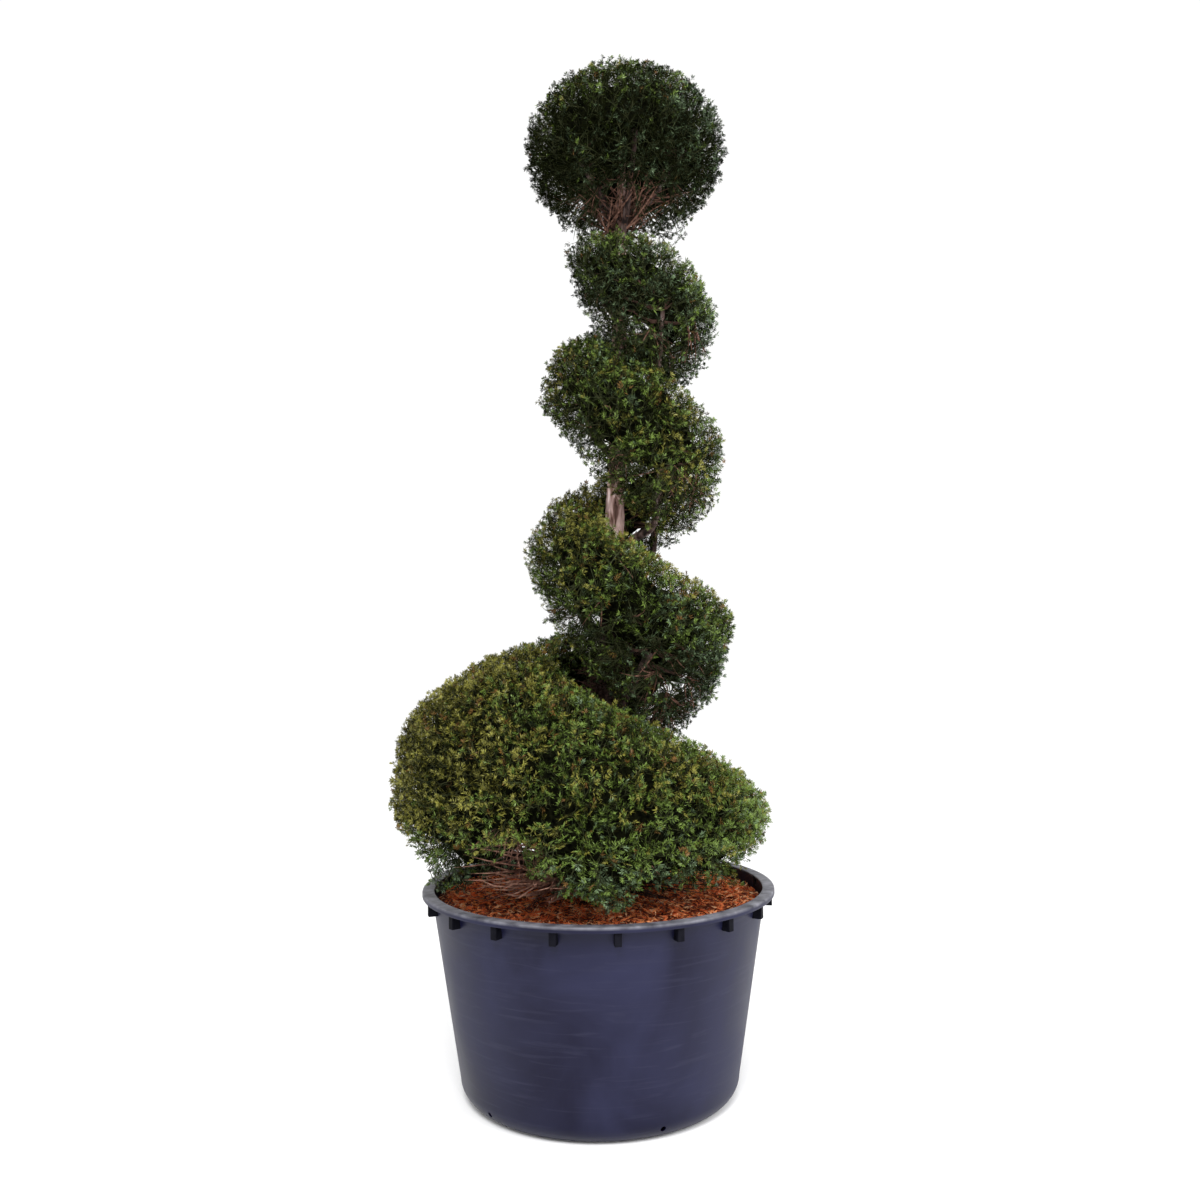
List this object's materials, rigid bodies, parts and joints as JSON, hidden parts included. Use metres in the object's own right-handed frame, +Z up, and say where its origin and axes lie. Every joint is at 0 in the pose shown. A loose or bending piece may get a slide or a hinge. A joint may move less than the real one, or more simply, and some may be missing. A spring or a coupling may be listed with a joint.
{
  "type": "spiral topiary",
  "caption": "Tall clipped yew spiral with a round ball on top, grown in a big round dark nursery pot filled with bark mulch; stands on the pot's flat underside.",
  "frame": {"origin": "the middle of the flat underside of the pot, at ground level", "axes": "+Z up along the pot's axis, +X to the right and -Y to the front, where the bands of the spiral fall from upper left to lower right"},
  "size_m": [1.0397, 0.9992, 2.7781],
  "materials": {
    "pot_plastic": "dark blue-grey moulded plastic, satin, with faint scuffs and a lighter rim",
    "mulch": "red-brown shredded bark over potting soil",
    "yew_bark": "flaking red-brown bark with grey-pink patches",
    "yew_foliage": "dense dark green needles with olive-yellow tips"
  },
  "bodies": {
    "root": {"bough_ball_1": "yew_bark", "bough_ball_2": "yew_bark", "bough_ball_3": "yew_bark", "bough_ball_4": "yew_bark", "bough_ball_5": "yew_bark", "bough_base_back_left": "yew_bark", "bough_base_back_right": "yew_bark", "bough_base_front_left": "yew_bark", "bough_base_front_right": "yew_bark", "bough_turn_1_back_right": "yew_bark", "bough_turn_1_front_right": "yew_bark", "bough_turn_1_left": "yew_bark", "bough_turn_2_back_right": "yew_bark", "bough_turn_2_front_right": "yew_bark", "bough_turn_2_left": "yew_bark", "bough_turn_3_back_right": "yew_bark", "bough_turn_3_front_right": "yew_bark", "bough_turn_3_left": "yew_bark", "foliage_ball": "yew_foliage", "foliage_base_back_left": "yew_foliage", "foliage_base_back_right": "yew_foliage", "foliage_base_front_left": "yew_foliage", "foliage_base_front_right": "yew_foliage", "foliage_turn_1_back_right": "yew_foliage", "foliage_turn_1_front_right": "yew_foliage", "foliage_turn_1_left": "yew_foliage", "foliage_turn_2_back_right": "yew_foliage", "foliage_turn_2_front_right": "yew_foliage", "foliage_turn_2_left": "yew_foliage", "foliage_turn_3_back_right": "yew_foliage", "foliage_turn_3_front_right": "yew_foliage", "foliage_turn_3_left": "yew_foliage", "pot": "pot_plastic", "soil": "mulch", "trunk": "yew_bark"}
  },
  "joints": []
}
